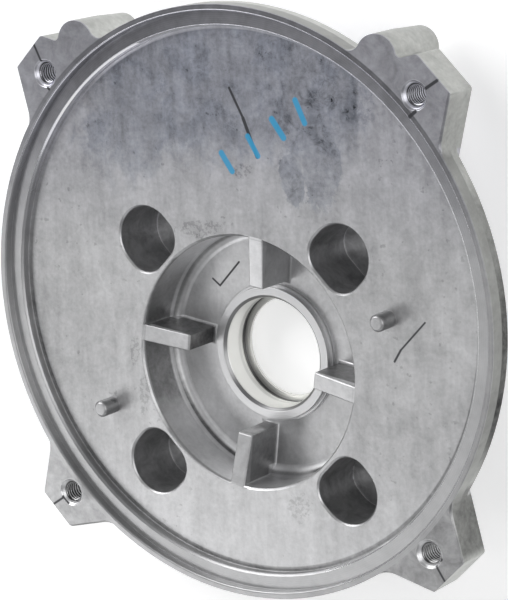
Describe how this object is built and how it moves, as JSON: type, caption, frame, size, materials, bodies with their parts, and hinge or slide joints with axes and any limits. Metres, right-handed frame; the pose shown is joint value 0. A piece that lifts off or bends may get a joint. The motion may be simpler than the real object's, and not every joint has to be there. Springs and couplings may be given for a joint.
{
  "type": "housing cover",
  "caption": "Round die-cast aluminium end cover with a stepped rim, threaded lugs, a ribbed bearing pocket, deep blind recesses and locating pins.",
  "frame": {"origin": "centre of the bolt circle, on the plane of the machined rim face", "axes": "+Z out of the machined front, towards the machine that the cover closes; +Y towards the two round lobes"},
  "size_m": [0.21, 0.21, 0.0398],
  "materials": {
    "casting": "satin"
  },
  "bodies": {
    "root": {"housing_cover": "casting"}
  },
  "joints": []
}
